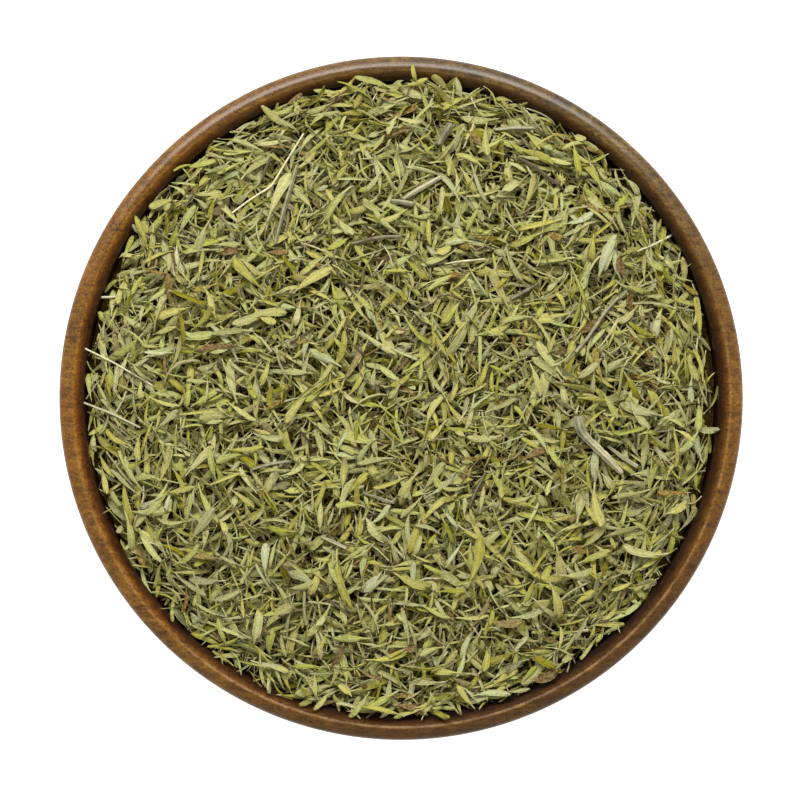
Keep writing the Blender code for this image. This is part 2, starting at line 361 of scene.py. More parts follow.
def packed_profile():
    """From the pack's crown out to the wall, and down inside the hollow to the axis."""
    edge = float(mouth_radius(BOWL_HEIGHT - FILL_DROP - LOOSE_DEPTH)) - WALL_GAP
    for i in range(PACK_RINGS + 1):
        radius = edge * i / PACK_RINGS
        yield Vector((radius, 0, float(fill_height(radius)) - LOOSE_DEPTH))
    for point in quarter_ellipse(WALL_FLOOR_RADIUS, SLOPE_FOOT, SLOPE_RADIUS - WALL_FLOOR_RADIUS - WALL_GAP,
                                 SLOPE_FOOT - BASE_THICKNESS - WALL_GAP, HOLLOW_STEPS):
        if point.z < float(fill_height(edge)) - LOOSE_DEPTH - PACK_STEP_DOWN:
            yield point
    yield Vector((0, 0, BASE_THICKNESS + WALL_GAP))


def packed_leaf_dust():
    """Dark, matt leaf dust with crumbs of olive, brown and straw in it: real dust, painted darker still as
    the shade in the gaps between the loose leaves.
    """
    dust = Finish("packed_leaf_dust")
    even = dust.place()
    crumbs = dust.noise(even, 1500.0, detail=6.0, roughness=0.7)
    clumps = dust.noise(even, 300.0, detail=3.0)
    colour = dust.ramp(crumbs, (0.40, (0.034, 0.017, 0.001)), (0.52, (0.084, 0.050, 0.002)),
                       (0.60, (0.146, 0.102, 0.007)), (0.68, (0.260, 0.212, 0.030)))
    colour = dust.blend(dust.span(clumps, 0.4, 0.6, 0.0, 0.6), colour, (0.036, 0.020, 0.003))
    dust.surface(Base_Color=colour, Roughness=0.95, Specular_IOR_Level=0.1)
    dust.relief(crumbs, 0.0012)
    return dust.material


packed = on_the_lathe("packed_leaves", packed_profile(), PACK_STEPS)
packed.data.materials.append(packed_leaf_dust())
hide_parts("thyme_heap")
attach(packed, "root")

# The larger stems: the few bits of stem long or thick enough to catch the eye, dry and ribbed, in straw,
# grey and purple-brown, with shorter broken twigs. They lie on the heap, and the leaves stay under and
# beside them.
STEM_SEED = 61
STEM_SIDES = 16
STEM_STEP = 0.0004
BRIDGE_RADIUS = 0.0620
NODE_SLACK = 0.0009
LARGER_STEMS = (
    # node, finish slot, ribs, roughness, and route over the heap: x, y and radius in mm, and tint
    ("straw_stem", "straw", 2, 0.05, (
        (-37.1, 40.5, 0.26, 0.96), (-32.9, 43.6, 0.23, 0.96), (-28.4, 46.4, 0.28, 0.96),
        (-25, 52.1, 0.22, 0.96), (-21.4, 58, 0.18, 0.96))),
    ("grey_twig_left", "grey_stem", 3, 0.22, (
        (-27.6, 33.6, 0.3, 0.5), (-26.3, 38.8, 0.36, 0.5), (-25.8, 40.7, 0.5, 0.46),
        (-24, 46.7, 0.48, 0.48), (-22.8, 51.1, 0.3, 0.5))),
    ("grey_twig_right", "grey_stem", 2, 0.16, (
        (38.1, 9.9, 0.48, 0.44), (40.8, 13, 0.44, 0.42), (44.8, 18.9, 0.42, 0.42),
        (47.7, 22.1, 0.34, 0.5))),
    ("ribbed_stalk", "straw", 4, 0.22, (
        (0.4, 43.5, 0.3, 0.7), (2.6, 44.9, 0.56, 0.68), (4.8, 46.2, 0.6, 0.66), (8.7, 48.4, 0.44, 0.7))),
    ("brown_twig", "brown_stem", 3, 0.2, (
        (-10.9, 33.7, 0.3, 0.34), (-7.5, 34.5, 0.46, 0.32), (-4.2, 35.2, 0.48, 0.34),
        (0, 35.3, 0.36, 0.4))),
    ("woody_twig", "straw", 5, 0.42, (
        (38.7, -4, 0.75, 0.46), (38.8, -5.7, 1.15, 0.44), (39.5, -7.6, 0.95, 0.48),
        (40.8, -9, 0.78, 0.6), (43.2, -11.3, 0.86, 0.72), (45.8, -13.8, 0.76, 0.74),
        (48.3, -16.5, 0.5, 0.76))),
    ("silver_stem", "grey_stem", 4, 0.25, (
        (45.3, -10.5, 0.35, 0.6), (48.1, -12.7, 0.52, 0.58), (51.9, -15.1, 0.46, 0.62))),
)
BROKEN_TWIGS = (
    # ribs, roughness, and route over the heap: x, y and radius in mm, and tint
    (1, 0.05, ((-69.4, 10.9, 0.2, 0.9), (-63.3, 7.9, 0.22, 0.9), (-54.3, 2.7, 0.16, 0.9))),
    (3, 0.2, ((25.3, 52.7, 0.32, 0.2), (29.3, 50.8, 0.42, 0.2), (32.2, 48.2, 0.44, 0.2),
              (34.8, 46.7, 0.3, 0.2))),
    (3, 0.2, ((20.5, 58.8, 0.35, 0.55), (24.9, 59.3, 0.5, 0.55), (29.2, 59.2, 0.4, 0.55))),
    (4, 0.25, ((8, 55.3, 0.7, 0.38), (9.4, 57.8, 0.85, 0.38), (11, 60.1, 0.7, 0.38))),
    (3, 0.2, ((-32.6, -15.6, 0.3, 0.5), (-28.7, -14.4, 0.4, 0.5), (-24.4, -13.8, 0.35, 0.5))),
    (3, 0.5, ((14.9, -23.8, 0.35, 0.3), (16.4, -20.1, 0.45, 0.3), (18.4, -16.4, 0.3, 0.3))),
    (2, 0.2, ((-16.6, -43.7, 0.25, 0.22), (-13.8, -45.5, 0.3, 0.22), (-11, -48, 0.25, 0.22))),
    (2, 0.1, ((9.6, 29.3, 0.15, 0.85), (12.7, 29.8, 0.28, 0.85), (18.4, 30.3, 0.3, 0.85))),
    (3, 0.25, ((-2.3, 43.2, 0.4, 0.5), (0.2, 42.9, 0.55, 0.5), (2.9, 42.4, 0.5, 0.5))),
    (3, 0.2, ((24, 21.6, 0.4, 0.35), (26.9, 23.2, 0.5, 0.35), (30, 25.1, 0.3, 0.35))),
    (2, 0.2, ((38.2, 10, 0.2, 0.45), (36, 7.7, 0.15, 0.45))),
    (2, 0.3, ((38.3, -3.4, 0.2, 0.85), (38.7, -1.7, 0.15, 0.85))),
    (2, 0.1, ((-69.6, -1, 0.25, 0.7), (-63.7, -3.3, 0.3, 0.7), (-57.1, -6.5, 0.25, 0.7))),
    (3, 0.3, ((-17.5, -30.3, 0.35, 0.6), (-11.9, -32.9, 0.4, 0.6))),
    (3, 0.2, ((-8.4, -20.7, 0.25, 0.45), (-1.5, -22.9, 0.3, 0.45))),
    (4, 0.45, ((-30.7, 47.3, 0.22, 0.12), (-29.6, 50.4, 0.34, 0.12), (-28.5, 52.8, 0.22, 0.12))),
)


def stem_run(route, top=math.inf):
    """Close points along a stem that lies over the heap: x, y, z, radius and tint at each."""
    corners = np.array(route)
    corners[:, :3] /= 1000
    legs = np.concatenate(([0.0], np.cumsum(np.hypot(*np.diff(corners[:, :2], axis=0).T))))
    distances = np.linspace(0.0, legs[-1], max(8, int(legs[-1] / STEM_STEP)))
    lines = np.stack([np.interp(distances, legs, column) for column in corners.T])
    for line in lines:
        line[2:-2] = np.convolve(line, np.ones(5) / 5, "valid")
    x, y, radii, tints = lines
    inward = np.minimum(1.0, BRIDGE_RADIUS / np.hypot(x, y))
    z = np.minimum(heap_level(x * inward, y * inward) + 0.9 * radii, top - radii)
    return np.stack((x, y, z, radii, tints), axis=1)


def skin(mesh, rings):
    """Closes the sides of a tube, from its rings of corners."""
    for first, second in zip(rings, rings[1:]):
        for k in range(len(first)):
            after = (k + 1) % len(first)
            mesh.faces.new((first[k], first[after], second[after], second[k]))


def fan(mesh, ring, point):
    """Closes one end of a tube by faces from its last ring to this point."""
    for k, corner in enumerate(ring):
        mesh.faces.new((corner, ring[(k + 1) % len(ring)], point))


def turn_outward(mesh, smooth=(4,)):
    """Turns every face outward, and makes those with one of these numbers of corners smooth."""
    bmesh.ops.recalc_face_normals(mesh, faces=mesh.faces[:])
    for face in mesh.faces:
        face.smooth = len(face.verts) in smooth


def stem_piece(name, stems, draw):
    """These stems as one object: ribbed and uneven bark, closed by a ragged break at each end."""
    mesh = bmesh.new()
    tinted = mesh.verts.layers.float.new("tint")
    groove = mesh.verts.layers.float.new("groove")
    for run, ribs, rough in stems:
        points, radii, tints = run[:, :3], run[:, 3], run[:, 4]
        count = len(points)
        ahead = np.gradient(points, axis=0)
        ahead /= np.linalg.norm(ahead, axis=1)[:, None]
        beside = np.stack((-ahead[:, 1], ahead[:, 0], np.zeros(count)), axis=1)
        beside /= np.linalg.norm(beside, axis=1)[:, None]
        up = np.cross(ahead, beside)
        phase, wander = draw.uniform(0, 6.28), draw.normal(0.0, 1.0, (4, count))
        rings = []
        for i, point in enumerate(points):
            ring = []
            for k in range(STEM_SIDES):
                turn = 2 * math.pi * k / STEM_SIDES
                ridge = math.cos(ribs * turn + phase + 0.6 * i / count)
                uneven = rough * (0.45 * ridge + 0.16 * wander[k % 4, i])
                end = draw.uniform(-1.0, 1.0) * radii[i] * 0.5 if i in (0, count - 1) else 0.0
                offset = radii[i] * (1.0 + uneven) * (math.cos(turn) * beside[i] + math.sin(turn) * up[i])
                vertex = mesh.verts.new(point + offset + end * ahead[i])
                vertex[tinted] = tints[i]
                vertex[groove] = 0.5 - 0.5 * ridge
                ring.append(vertex)
            rings.append(ring)
        skin(mesh, rings)
        for ring, heading, tint in ((rings[0], ahead[0], tints[0]), (rings[-1], -ahead[-1], tints[-1])):
            middle = sum((vertex.co for vertex in ring), Vector()) / STEM_SIDES
            pith = mesh.verts.new(middle + Vector(heading) * radii[0] * 0.3)
            pith[tinted] = tint
            fan(mesh, ring, pith)
    turn_outward(mesh)
    return placed(name, drawn(name, mesh))


def dry_bark():
    """Dry bark: its colour breaks into paler wood along the ribs and dark grooves between them."""
    bark = Finish("dry_bark")
    even = bark.place()
    fibre = bark.noise(even, 1500.0, detail=5.0, roughness=0.7)
    patch = bark.noise(even, 420.0, detail=2.0)
    amount = bark.plus(bark.attribute("tint"), bark.times(bark.maths("SUBTRACT", patch, 0.5), 0.45))
    colour = bark.ramp(amount, (0.00, (0.115, 0.078, 0.076)), (0.25, (0.160, 0.132, 0.078)),
                       (0.45, (0.340, 0.335, 0.220)), (0.62, (0.490, 0.480, 0.310)),
                       (0.80, (0.630, 0.595, 0.380)), (1.00, (0.860, 0.840, 0.520)))
    grooves = bark.span(bark.attribute("groove"), 0.50, 1.0, 0.0, 0.80)
    colour = bark.blend(grooves, colour, (0.40, 0.33, 0.24), "MULTIPLY")
    colour = bark.blend(bark.span(fibre, 0.36, 0.50, 0.5, 0.0), colour, (0.56, 0.47, 0.36), "MULTIPLY")
    bark.surface(Base_Color=colour, Roughness=0.7, Specular_IOR_Level=0.2)
    bark.relief(fibre, 0.00025)
    return bark.material


stem_draw = np.random.default_rng(STEM_SEED)
stem_bark = dry_bark()
stem_runs = []
for node, slot, ribs, rough, route in LARGER_STEMS:
    stem_runs.append(stem_run(route, top=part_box(node)[1][2] + NODE_SLACK))
    stem = stem_piece(node + "_detailed", [(stem_runs[-1], ribs, rough)], stem_draw)
    stem.data.materials.append(stem_bark)
    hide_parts(node)
    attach(stem, "root")
twig_facts = [(stem_run(route), ribs, rough) for ribs, rough, route in BROKEN_TWIGS]
stem_runs.extend(run for run, *_ in twig_facts)
broken_twigs = stem_piece("broken_twigs", twig_facts, stem_draw)
broken_twigs.data.materials.append(stem_bark)
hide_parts("thyme_heap")
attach(broken_twigs, "root")

# The loose leaves: whole and broken leaves of dried thyme, a few millimetres long, each a thin olive blade
# that tapers into a pale stalk. Drying has folded, rolled, bent and twisted them. They lie where they fell.
LEAF_SEED = 5
LEAF_STATIONS = (0.09, 0.22, 0.40, 0.60, 0.80, 0.95)
STALK_END = 0.20
LEAF_STALK_WIDTHS = (0.035, 0.050)
LEAF_THICKNESSES = (0.020, 0.034)
SIDE_CURVE = 0.09
TIP_CURLS = (-0.5, 0.9)
UNEVEN_FOLDS = (0.75, 1.25)
UNEVEN_HALVES = (0.90, 1.10)
LEAF_FAMILIES = (
    # name, how many, slimness, widest place, fullness, fold, bend, twist
    ("spoon", 12, (0.16, 0.25), (0.64, 0.76), (0.38, 0.54), (-0.45, 0.55), (-0.08, 0.14), 0.5),
    ("lance", 12, (0.11, 0.175), (0.50, 0.66), (0.46, 0.70), (-0.45, 0.60), (-0.09, 0.16), 0.7),
    ("folded", 8, (0.12, 0.18), (0.54, 0.70), (0.42, 0.62), (0.75, 1.20), (-0.09, 0.18), 0.6),
    ("rolled", 8, (0.07, 0.11), (0.45, 0.68), (0.36, 0.55), (-1.1, -0.5), (-0.14, 0.20), 1.0),
    ("broken", 6, (0.22, 0.38), (0.40, 0.55), (0.35, 0.55), (-0.40, 0.55), (-0.05, 0.10), 0.5),
)


def leaf_kind(name, draw, slim, widest, full, fold, bend, twist):
    """One leaf, one unit long, closed all round: a stalk, a blade that widens and narrows, a fold or
    roll."""
    mesh = bmesh.new()
    along = mesh.verts.layers.float.new("along")
    under = mesh.verts.layers.float.new("under")
    margin = mesh.verts.layers.float.new("margin")
    stalk_share = draw.uniform(*LEAF_STALK_WIDTHS) / slim
    power = math.log(0.5) / math.log(widest)
    side_curve = draw.uniform(-SIDE_CURVE, SIDE_CURVE)
    tip_curl = draw.uniform(*TIP_CURLS)
    uneven = draw.uniform(*UNEVEN_FOLDS)
    thickness = draw.uniform(*LEAF_THICKNESSES)

    def centre(s):
        hump = 4 * s * (1 - s)
        return Vector((s - 0.5, side_curve * hump, bend * hump + tip_curl * max(0.0, s - 0.62) ** 2))

    def corner(s, across, up, edge_share, under_share):
        turn = twist * (s - 0.4)
        offset = Vector((0, across * math.cos(turn) - up * math.sin(turn),
                         across * math.sin(turn) + up * math.cos(turn)))
        vertex = mesh.verts.new(centre(s) + offset)
        vertex[along] = s
        vertex[margin] = edge_share
        vertex[under] = under_share
        return vertex

    rings = []
    for s in LEAF_STATIONS:
        blade = max(0.0, (s - STALK_END) / (1 - STALK_END))
        swell = math.sin(math.pi * blade ** power) ** full if blade > 0 else 0.0
        half = 0.5 * slim * (stalk_share + (1 - stalk_share) * swell)
        bent = fold * min(1.0, swell * 1.4)
        left, right = half * draw.uniform(*UNEVEN_HALVES), half * draw.uniform(*UNEVEN_HALVES)
        thick = max(thickness * (0.65 + 0.5 * swell), 1.1 * half if swell == 0.0 else 0.0)
        rings.append((
            corner(s, left * math.cos(bent), left * math.sin(bent), 1.0, 0.5),
            corner(s, 0.0, thick * 0.5, 0.0, 0.0),
            corner(s, -right * math.cos(bent * uneven), right * math.sin(bent * uneven), 1.0, 0.5),
            corner(s, 0.0, -thick * 0.5, 0.0, 1.0),
        ))
    foot = corner(0.0, 0.0, 0.0, 0.0, 0.5)
    tip = corner(1.0, 0.0, 0.0, 1.0, 0.5)
    fan(mesh, rings[0], foot)
    skin(mesh, rings)
    fan(mesh, rings[-1], tip)
    turn_outward(mesh, smooth=(3, 4))
    for first, second in zip(rings[1:], rings[2:]):
        for i in (0, 2):
            mesh.edges.get((first[i], second[i])).smooth = False
    return drawn(name, mesh)


leaf_draw = np.random.default_rng(LEAF_SEED)
leaf_kinds = bpy.data.collections.new("leaf_kinds")
kind_facts = []
family_kinds = {}
for family, count, slims, widests, fulls, folds, bends, twists in LEAF_FAMILIES:
    family_kinds[family] = range(len(kind_facts), len(kind_facts) + count)
    for i in range(count):
        slim, bend = leaf_draw.uniform(*slims), leaf_draw.uniform(*bends)
        kind = leaf_kind(f"leaf_kind_{len(kind_facts):02d}", leaf_draw, slim, leaf_draw.uniform(*widests),
                         leaf_draw.uniform(*fulls), leaf_draw.uniform(*folds), bend,
                         leaf_draw.uniform(-twists, twists))
        kind_facts.append((slim, bend))
        leaf_kinds.objects.link(bpy.data.objects.new(kind.name, kind))
kind_facts = np.array(kind_facts)

# How the leaves come to rest: a map of the heap's height takes each leaf in turn, from the lowest up.
# A leaf leans with what lies under it, drops until it touches, and raises the map by its own blade.
# A second map keeps the leaves under the larger stems.
CELL = 0.00035
LEAF_THICKNESS = 0.00022
SETTLE_SHARE = 0.90
HEAP_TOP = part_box("thyme_heap")[1][2] - 0.0013
WALL_REACH = 0.0017
WALL_TRIES = 4
WALL_SLACK = 0.0001
STEEPEST = 0.7
STEM_CLEARANCE = 0.00012
EDGE_RADIUS = 0.0600
LEAF_LENGTH_LIMITS = (0.0020, 0.0108)
LEAF_PLACES = SLOPE_RADIUS - 0.0003
MAP_SIDE = int(2 * RIM_RADIUS / CELL) + 5
map_places = (np.arange(MAP_SIDE) - MAP_SIDE // 2) * CELL
map_radius = np.hypot(map_places[:, None], map_places[None, :])
hollow_share = np.clip((map_radius - WALL_FLOOR_RADIUS) / (SLOPE_RADIUS - WALL_FLOOR_RADIUS), 0.0, 1.0)
slope_share = np.clip((map_radius - SLOPE_RADIUS) / (ARRIS_RADIUS - SLOPE_RADIUS), 0.0, 1.0)
wall_height = (SLOPE_FOOT - (SLOPE_FOOT - BASE_THICKNESS) * np.sqrt(1.0 - hollow_share ** 2)
               + slope_share * SLOPE_DROP)
packed_height = np.where(map_radius < SLOPE_RADIUS, fill_height(map_radius) - LOOSE_DEPTH, 0.0)
ground = np.maximum(wall_height, packed_height)
ceiling = np.full((MAP_SIDE, MAP_SIDE), HEAP_TOP)


def cells(x, y):
    """The rows and columns of the map at these places."""
    return tuple(np.rint(place / CELL).astype(int) + MAP_SIDE // 2 for place in (x, y))


for run in stem_runs:
    for x, y, z, radius, _ in run:
        reach = int(math.ceil((radius + STEM_CLEARANCE) / CELL))
        row, column = cells(x, y)
        patch = ceiling[row - reach:row + reach + 1, column - reach:column + reach + 1]
        np.minimum(patch, z - 0.4 * radius, out=patch)
blade_grid = np.meshgrid(np.linspace(-0.48, 0.48, 15), (-0.9, -0.3, 0.3, 0.9))
blade_u, blade_v = (grid.ravel() for grid in blade_grid)
blade_v = blade_v * np.interp(blade_u, (-0.48, -0.28, -0.05, 0.15, 0.35, 0.48),
                              (0.2, 0.3, 0.9, 1.0, 0.8, 0.35))


def leaf_turn(roll, pitch, yaw):
    """The rotation of a leaf: rolled about its own length, then pitched, then turned about the vertical."""
    return np.array(Euler((roll, pitch, yaw)).to_matrix())


def off_map(rows, columns):
    """Whether any of these cells lies beside the map."""
    return min(rows.min(), columns.min()) < 0 or max(rows.max(), columns.max()) >= MAP_SIDE


def settle(x, y, yaw, length, slim, bend, roll, extra_pitch, kept=False):
    """Lays one leaf on the heap near x, y. Returns its middle and its three turns, or None if it doesn't
    fit. A kept leaf stays where it is told to lie."""
    flat = np.stack((blade_u * length, blade_v * length * slim * 0.5,
                     4 * (0.25 - blade_u ** 2) * bend * length))
    level = leaf_turn(roll, 0.0, yaw) @ flat
    rows, columns = cells(x + level[0], y + level[1])
    if off_map(rows, columns):
        return None
    under = ground[rows, columns]
    reach = blade_u * length
    slope = float(np.dot(reach, under - under.mean()) / np.dot(reach, reach))
    pitch = -math.atan(max(-STEEPEST, min(STEEPEST, slope))) + extra_pitch
    blade = leaf_turn(roll, pitch, yaw) @ flat
    for _ in range(WALL_TRIES):
        rows, columns = cells(x + blade[0], y + blade[1])
        if off_map(rows, columns):
            return None
        clearance = np.sort(ground[rows, columns] - blade[2])
        z = float(clearance[int(SETTLE_SHARE * (len(clearance) - 1))])
        if kept:
            z = min(z, HEAP_TOP - float(blade[2].max()))
            break
        excess = np.hypot(x + blade[0], y + blade[1]) - (mouth_radius(z + blade[2]) - WALL_GAP)
        worst = float(excess.max())
        if worst <= 0.0:
            break
        away, step = math.hypot(x, y), worst + WALL_SLACK
        x, y = x - x / away * step, y - y / away * step
    else:
        return None
    if not kept and z > heap_level(x, y) + WALL_REACH:
        return None
    if not kept and (z + blade[2] > ceiling[rows, columns]).any():
        return None
    ground[rows, columns] = np.maximum(ground[rows, columns], z + blade[2] + LEAF_THICKNESS)
    return x, y, z + 0.5 * LEAF_THICKNESS, roll, pitch, yaw


def open_place(farthest):
    """The lowest of three places drawn at random, none farther than this from the bowl's axis."""
    places = []
    for _ in range(3):
        distance = farthest * math.sqrt(leaf_draw.random())
        bearing = leaf_draw.uniform(0.0, 2 * math.pi)
        x, y = distance * math.cos(bearing), distance * math.sin(bearing)
        places.append((float(ground[cells(x, y)]) - heap_level(x, y), x, y))
    return min(places)[1:]


def scatter(count, families, lengths, tilt, roll_spread, flipped, on_edge):
    """Drops this many leaves over the whole bowl, lowest places first. Returns one row of facts for each."""
    rows = []
    names = [name for name, _ in families]
    shares = np.array([share for _, share in families])
    while len(rows) < count:
        x, y = open_place(LEAF_PLACES)
        family = names[leaf_draw.choice(len(names), p=shares / shares.sum())]
        kind = int(leaf_draw.choice(family_kinds[family]))
        slim, bend = kind_facts[kind]
        length = float(np.clip(leaf_draw.lognormal(math.log(lengths[0]), lengths[1]), *LEAF_LENGTH_LIMITS))
        if family == "broken":
            length *= 0.5
        roll = leaf_draw.normal(0.0, roll_spread)
        if leaf_draw.random() < on_edge:
            roll = leaf_draw.choice((-1, 1)) * leaf_draw.uniform(0.9, 1.5)
        if leaf_draw.random() < flipped:
            roll += math.pi
        yaw = leaf_draw.uniform(0.0, 2 * math.pi)
        if math.hypot(x, y) > EDGE_RADIUS and leaf_draw.random() < 0.7:
            yaw = math.atan2(y, x) + leaf_draw.choice((-1, 1)) * math.pi / 2 + leaf_draw.normal(0.0, 0.5)
        found = settle(x, y, yaw, length, slim, bend, roll, leaf_draw.normal(0.0, tilt))
        if found:
            rows.append((*found, length, kind))
    return np.array(rows)


def strewing_tree():
    """Geometry Nodes: one kind of leaf on each point, turned and sized as the point says, made real."""
    tree = bpy.data.node_groups.new("strew_over_heap", "GeometryNodeTree")
    sockets = {}
    for name, kind in (("Resting places", "Geometry"), ("Kinds", "Collection"), ("Material", "Material"),
                       ("Least girth", "Float"), ("Most girth", "Float"), ("Seed", "Int")):
        sockets[name] = tree.interface.new_socket(name, in_out="INPUT", socket_type="NodeSocket" + kind)
    tree.interface.new_socket("Heap", in_out="OUTPUT", socket_type="NodeSocketGeometry")
    given = tree.nodes.new("NodeGroupInput").outputs

    def stored(name, kind):
        return add_node(tree, "GeometryNodeInputNamedAttribute", settings={"data_type": kind}, Name=name)

    girth = add_node(tree, "FunctionNodeRandomValue", out=1, settings={"data_type": "FLOAT"},
                     i2=given["Least girth"], i3=given["Most girth"], Seed=given["Seed"])
    stout = add_node(tree, "ShaderNodeCombineXYZ", X=1.0, Y=girth, Z=girth)
    sized = add_node(tree, "ShaderNodeVectorMath", settings={"operation": "MULTIPLY"},
                     i0=stored("size", "FLOAT_VECTOR"), i1=stout)
    turned = add_node(tree, "FunctionNodeEulerToRotation", i0=stored("turn", "FLOAT_VECTOR"))
    kinds = add_node(tree, "GeometryNodeCollectionInfo", Collection=given["Kinds"],
                     Separate_Children=True, Reset_Children=True)
    laid = add_node(tree, "GeometryNodeInstanceOnPoints", Points=given["Resting places"], Instance=kinds,
                    Pick_Instance=True, Instance_Index=stored("kind", "INT"), Rotation=turned, Scale=sized)
    real = add_node(tree, "GeometryNodeRealizeInstances", i0=laid)
    painted = add_node(tree, "GeometryNodeSetMaterial", Geometry=real, Material=given["Material"])
    tree.links.new(painted, tree.nodes.new("NodeGroupOutput").inputs[0])
    return tree, {name: socket.identifier for name, socket in sockets.items()}


strew_over_heap, strew_inputs = strewing_tree()


def strewn(name, kinds, material, rows, girth, seed, **facts):
    """The leaves of these rows as one plain mesh: x, y, z, three turns, length and kind in each row."""
    places = bpy.data.meshes.new(name + "_places")
    places.from_pydata(rows[:, :3].tolist(), [], [])
    places.attributes.new("turn", "FLOAT_VECTOR", "POINT").data.foreach_set("vector", rows[:, 3:6].ravel())
    sizes = np.repeat(rows[:, 6], 3)
    places.attributes.new("size", "FLOAT_VECTOR", "POINT").data.foreach_set("vector", sizes)
    places.attributes.new("kind", "INT", "POINT").data.foreach_set("value", rows[:, 7].astype(int))
    for fact, values in facts.items():
        values = np.asarray(values, dtype=float)
        places.attributes.new(fact, "FLOAT", "POINT").data.foreach_set("value", values)
    bed = placed(name + "_bed", places)
    strewing = bed.modifiers.new("strewing", "NODES")
    strewing.node_group = strew_over_heap
    for socket, value in (("Kinds", kinds), ("Material", material), ("Least girth", girth[0]),
                          ("Most girth", girth[1]), ("Seed", seed)):
        strewing[strew_inputs[socket]] = value
    return made_plain(name, bed)


def dried_leaf():
    """Matt dry leaf: olive of many tints, a greyer felted underside, a straw-pale stalk and browned tips."""
    leaf = Finish("dried_thyme_leaf")
    tint, sage, brown, along, under, margin = (
        leaf.attribute(name) for name in ("tint", "sage", "brown", "along", "under", "margin"))
    even = leaf.place()
    mottle = leaf.noise(even, 1900.0, detail=4.0, roughness=0.65)
    drift = leaf.noise(even, 560.0, detail=2.0)
    shade = leaf.plus(tint, leaf.times(leaf.maths("SUBTRACT", drift, 0.5), 0.35))
    pale = leaf.span(shade, 0.10, 0.70, 0.25, 1.0)
    colour = leaf.ramp(shade, (0.00, (0.110, 0.084, 0.001)), (0.20, (0.290, 0.258, 0.012)),
                       (0.42, (0.486, 0.459, 0.083)), (0.62, (0.542, 0.520, 0.176)),
                       (0.82, (0.564, 0.545, 0.262)), (1.00, (0.605, 0.585, 0.365)))
    off_middle = leaf.maths("ABSOLUTE", leaf.maths("SUBTRACT", sage, 0.50))
    greener = leaf.span(off_middle, 0.08, 0.26, 1.0, 0.0)
    colour = leaf.blend(greener, colour, (0.87, 0.97, 0.99), "MULTIPLY")
    grey = leaf.span(sage, 0.66, 0.95, 0.0, 0.75)
    colour = leaf.blend(leaf.times(grey, pale), colour, (0.372, 0.382, 0.215))
    yellow = leaf.span(sage, 0.16, 0.02, 0.0, 0.55)
    colour = leaf.blend(leaf.times(yellow, pale), colour, (0.520, 0.467, 0.095))
    felt = leaf.span(under, 0.45, 1.0, 0.0, 0.55)
    colour = leaf.blend(leaf.times(felt, pale), colour, (0.368, 0.362, 0.178))
    spots = leaf.span(mottle, 0.36, 0.52, 0.55, 0.0)
    colour = leaf.blend(spots, colour, (0.58, 0.51, 0.22), "MULTIPLY")
    # Painted shade: each half of the blade darkens between its midrib and its margin, for a rounded look.
    painted_flank_shade = leaf.span(margin, 0.12, 0.55, 0.0, 0.40)
    colour = leaf.blend(painted_flank_shade, colour, (0.62, 0.62, 0.46), "MULTIPLY")
    rib = leaf.span(margin, 0.0, 0.30, 0.22, 0.0)
    colour = leaf.blend(leaf.times(rib, pale), colour, (0.560, 0.540, 0.260))
    edge = leaf.span(margin, 0.76, 1.0, 0.0, 0.60)
    colour = leaf.blend(leaf.times(edge, pale), colour, (0.610, 0.582, 0.330))
    bronze = leaf.ramp(mottle, (0.35, (0.065, 0.036, 0.010)), (0.50, (0.215, 0.128, 0.030)),
                       (0.65, (0.400, 0.262, 0.076)))
    bronze = leaf.blend(leaf.span(sage, 0.35, 0.60), bronze, (0.86, 0.84, 1.50), "MULTIPLY")
    tipped = leaf.times(leaf.span(along, 0.62, 1.0), leaf.span(brown, 0.30, 0.60, 0.0, 0.6))
    turned_brown = leaf.maths("MAXIMUM", tipped, leaf.span(brown, 0.72, 0.92, 0.0, 0.90))
    colour = leaf.blend(turned_brown, colour, bronze)
    stalk = leaf.span(along, 0.04, 0.24, 0.75, 0.0)
    colour = leaf.blend(stalk, colour, (0.580, 0.550, 0.310))
    leaf.surface(Base_Color=colour, Roughness=leaf.span(mottle, 0.35, 0.65, 0.46, 0.70),
                 Specular_IOR_Level=0.07)
    leaf.relief(leaf.plus(leaf.noise(even, 4200.0, detail=3.0), leaf.times(mottle, 1.4)), 0.00016)
    return leaf.material


def leaf_tints(count, middle, spread, browned):
    """A tint for each leaf, how grey or yellow it is, and how brown: a share of them has browned at the tip
    or all over."""
    tints = np.clip(leaf_draw.normal(middle, spread, count), 0.0, 1.0)
    browns = np.interp(leaf_draw.random(count), (0.0, 1.0 - browned, 1.0 - 0.25 * browned, 1.0),
                       (0.0, 0.52, 0.84, 1.0))
    return {"tint": tints, "sage": leaf_draw.random(count), "brown": browns}


dried_thyme_leaf = dried_leaf()
SMALL_LEAVES = (("spoon", 0.15), ("lance", 0.30), ("folded", 0.15), ("rolled", 0.25), ("broken", 0.15))
LEAF_LAYERS = (
    # name, how many, families, usual length and its spread, tilt, roll, shares flipped and on edge, tint,
    # and share browned
    ("bottom_leaves", 3700, SMALL_LEAVES, (0.0055, 0.25), 0.10, 0.35, 0.5, 0.10, 0.28, 0.44),
    ("middle_leaves", 3700, SMALL_LEAVES, (0.0054, 0.27), 0.12, 0.40, 0.5, 0.16, 0.49, 0.26),
)


def lay_leaves(name, count, families, lengths, tilt, roll, flipped, on_edge, tint, browned, seed):
    """One layer of leaves, fallen on those before it."""
    rows = scatter(count, families, lengths, tilt, roll, flipped, on_edge)
    layer = strewn(name, leaf_kinds, dried_thyme_leaf, rows, (0.85, 1.20), seed,
                   **leaf_tints(count, tint, 0.17, browned))
    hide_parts("thyme_heap")
    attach(layer, "root")


for seed, layer_facts in enumerate(LEAF_LAYERS):
    lay_leaves(*layer_facts, seed=seed)

